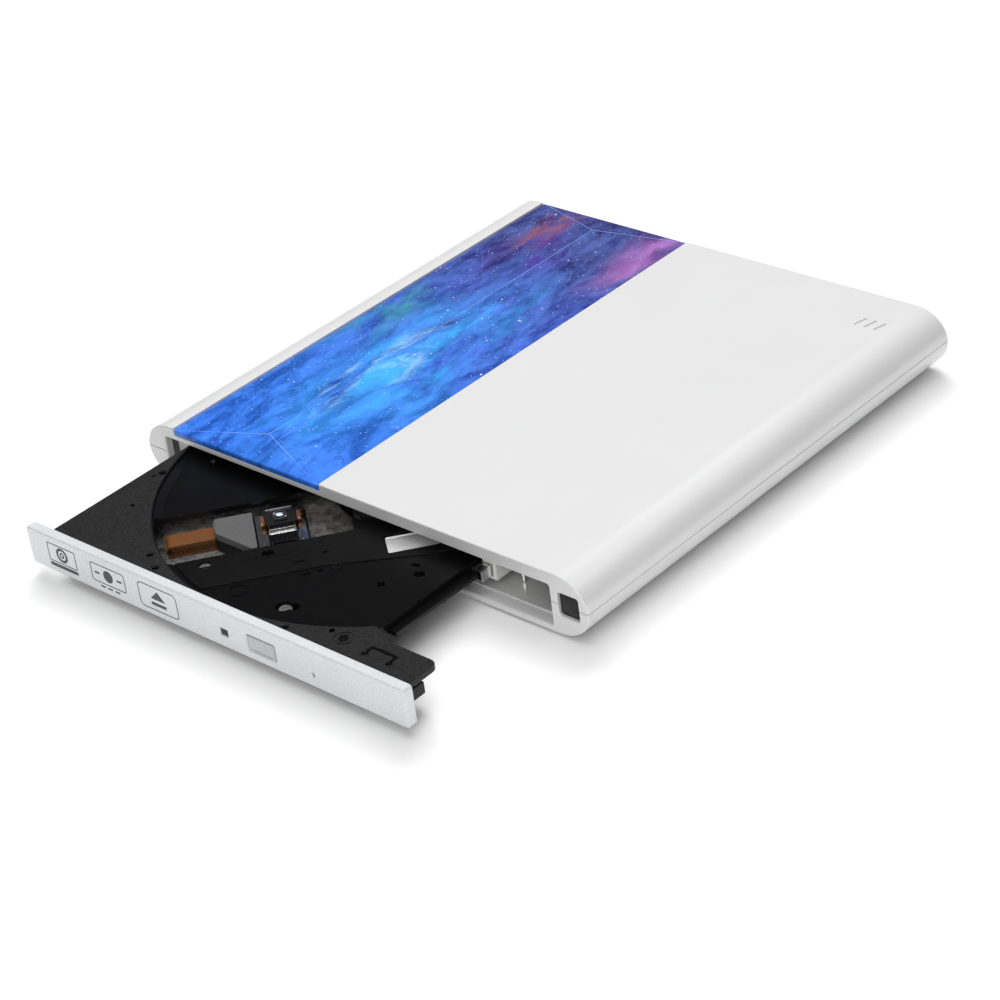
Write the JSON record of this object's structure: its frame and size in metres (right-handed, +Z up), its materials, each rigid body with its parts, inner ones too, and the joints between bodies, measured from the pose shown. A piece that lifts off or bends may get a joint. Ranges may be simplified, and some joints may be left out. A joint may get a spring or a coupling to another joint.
{
  "type": "external optical drive",
  "caption": "Flat external disc drive with rounded long sides and a raised hipped panel, its tray slid part way out to show the pickup.",
  "frame": {"origin": "middle of the footprint, tray included as it stands part way out, on the surface under the feet", "axes": "+X to the right along the front, +Y to the rear, +Z up"},
  "size_m": [0.148, 0.1947, 0.0187],
  "materials": {
    "case_plastic": "light grey satin plastic",
    "panel_print": "glossy clear-coated print of a deep blue starfield",
    "black_plastic": "gloss black plastic",
    "tray_plastic": "matt black fine-grained plastic",
    "bezel_paint": "fine metallic silver paint on plastic",
    "rubber": "matt rubber",
    "zinc_steel": "galvanised sheet steel",
    "bright_steel": "polished steel",
    "black_steel": "black coated sheet steel",
    "board_green": "green circuit board",
    "chip_black": "black moulded packages",
    "copper": "enamelled copper wire",
    "optic_glass": "clear objective lens",
    "smoke_lens": "smoked indicator window",
    "amber_film": "amber polyimide ribbon",
    "white_plastic": "white acetal plastic",
    "grey_metal": "light grey cast metal",
    "magnet": "nickel-plated magnet"
  },
  "bodies": {
    "case": {"bottom_shell": "case_plastic", "top_shell": "case_plastic", "facet_panel": "panel_print", "end_plug": "black_plastic", "rubber_feet": "rubber", "case_screws": "bright_steel", "chassis": "zinc_steel", "chassis_cover": "zinc_steel", "latch_post": "bright_steel", "rail_guide_left": "white_plastic", "rail_guide_right": "white_plastic", "main_board": "board_green", "main_board_chips": "chip_black", "bridge_board": "board_green", "bridge_chips": "chip_black", "drive_connector": "chip_black", "usb_socket": "bright_steel", "tray_ribbon": "amber_film"},
    "left_rail": {"rail_left": "bright_steel"},
    "right_rail": {"rail_right": "bright_steel"},
    "tray_unit": {"tray": "tray_plastic", "bezel": "bezel_paint", "lamp_window": "smoke_lens", "front_board": "board_green", "eject_switch": "chip_black", "lamp": "white_plastic", "tray_pan": "zinc_steel", "traverse_cover": "black_steel", "traverse_plate": "zinc_steel", "guide_rod_main": "bright_steel", "guide_rod_side": "bright_steel", "rod_clamps": "black_plastic", "sled_motor": "bright_steel", "motor_bracket": "bright_steel", "spindle_base": "zinc_steel", "stator": "copper", "latch_pin": "bright_steel", "solenoid": "zinc_steel", "dampers": "rubber", "tray_screws": "bright_steel", "pickup_ribbon": "amber_film"},
    "button": {"eject_button": "bezel_paint"},
    "spindle": {"turntable": "black_plastic", "turntable_ring": "rubber"},
    "claw_a": {"claw_1": "white_plastic"},
    "claw_b": {"claw_2": "white_plastic"},
    "claw_c": {"claw_3": "white_plastic"},
    "pickup": {"pickup_carriage": "black_plastic", "sled_nut": "white_plastic", "pickup_shield": "grey_metal", "actuator_yoke": "zinc_steel", "magnets": "magnet", "suspension_block": "chip_black", "pickup_board": "board_green"},
    "lens": {"lens_holder": "black_plastic", "objective_lens": "optic_glass", "focus_coils": "copper"},
    "sled_screw": {"lead_screw": "bright_steel"},
    "latch": {"latch_lever": "zinc_steel"},
    "plunger": {"solenoid_plunger": "bright_steel"}
  },
  "joints": [
    {"name": "tray_slide", "type": "slide", "parent": "case", "child": "tray_unit", "axis": [0, -1, 0], "range_m": [-0.048, 0.079], "deforming": ["tray_ribbon"]},
    {"name": "left_rail_slide", "type": "slide", "parent": "case", "child": "left_rail", "axis": [0, -1, 0], "range_m": [-0.024, 0.0395]},
    {"name": "right_rail_slide", "type": "slide", "parent": "case", "child": "right_rail", "axis": [0, -1, 0], "range_m": [-0.024, 0.0395]},
    {"name": "button_press", "type": "slide", "parent": "tray_unit", "child": "button", "axis": [0, 1, 0], "range_m": [0, 0.0006], "stiffness_N_per_m": 300},
    {"name": "spindle_spin", "type": "hinge", "parent": "tray_unit", "child": "spindle", "pos_m": [0.001, -0.03225, 0.0118], "axis": [0, 0, 1], "continuous": true},
    {"name": "claw_a_press", "type": "slide", "parent": "spindle", "child": "claw_a", "axis": [-0.866, -0.5, 0], "range_m": [0, 0.0005], "stiffness_N_per_m": 200},
    {"name": "claw_b_press", "type": "slide", "parent": "spindle", "child": "claw_b", "axis": [0.866, -0.5, 0], "range_m": [0, 0.0005], "stiffness_N_per_m": 200},
    {"name": "claw_c_press", "type": "slide", "parent": "spindle", "child": "claw_c", "axis": [0, 1, 0], "range_m": [0, 0.0005], "stiffness_N_per_m": 200},
    {"name": "sled_slide", "type": "slide", "parent": "tray_unit", "child": "pickup", "axis": [-0.6293, -0.7771, 0], "range_m": [-0.0075, 0.027], "deforming": ["pickup_ribbon"]},
    {"name": "screw_spin", "type": "hinge", "parent": "tray_unit", "child": "sled_screw", "pos_m": [0.00038, -0.07035, 0.0072], "axis": [-0.6293, -0.7771, 0], "range_deg": [-900, 3240]},
    {"name": "lens_focus", "type": "slide", "parent": "pickup", "child": "lens", "axis": [0, 0, 1], "range_m": [-0.0004, 0.0004], "stiffness_N_per_m": 40},
    {"name": "latch_swing", "type": "hinge", "parent": "tray_unit", "child": "latch", "pos_m": [0.0477, -0.09125, 0.0047], "axis": [0, 0, 1], "range_deg": [0, 22], "stiffness_Nm_per_rad": 0.0003, "springref_deg": 22},
    {"name": "plunger_slide", "type": "slide", "parent": "tray_unit", "child": "plunger", "axis": [1, 0, 0], "range_m": [-0.00135, 0]}
  ],
  "couplings": [
    {"joint": "left_rail_slide", "follows": "tray_slide", "ratio": 0.5},
    {"joint": "right_rail_slide", "follows": "tray_slide", "ratio": 0.5},
    {"joint": "screw_spin", "follows": "sled_slide", "rad_per_m": 2094.4},
    {"joint": "plunger_slide", "follows": "latch_swing", "m_per_rad": -0.0034}
  ]
}
